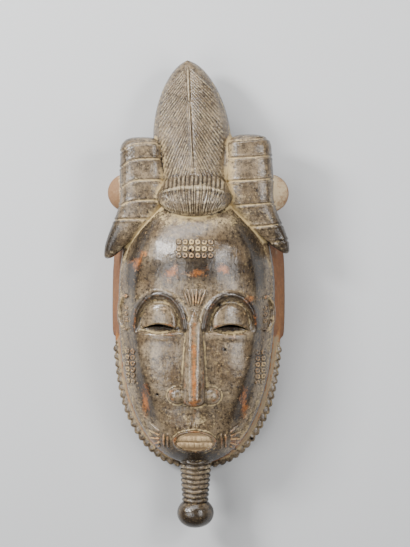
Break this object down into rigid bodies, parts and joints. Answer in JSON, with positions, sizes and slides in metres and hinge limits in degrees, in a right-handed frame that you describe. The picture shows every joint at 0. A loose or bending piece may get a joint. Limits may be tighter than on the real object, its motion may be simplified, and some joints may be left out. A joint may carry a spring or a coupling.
{
  "type": "baule mask",
  "caption": "Hollow carved wooden face mask: long oval face with half-closed eyes, leaf-shaped crest, two hanging tresses, scalloped beard and a ringed beard plait ending in a knob.",
  "frame": {"origin": "on the floor under the middle of the mask's bounding box, as it lies on the flat rim of its back", "axes": "+Y runs from the beard plait up to the crest, +Z comes out of the face, +X is to the viewer's right"},
  "size_m": [0.178, 0.452, 0.1053],
  "materials": {
    "carved_wood": "old dark brown-black patina with a soft handled sheen, pale dust in the carving, bare orange-brown wood on the sides"
  },
  "bodies": {
    "root": {"mask": "carved_wood"}
  },
  "joints": []
}
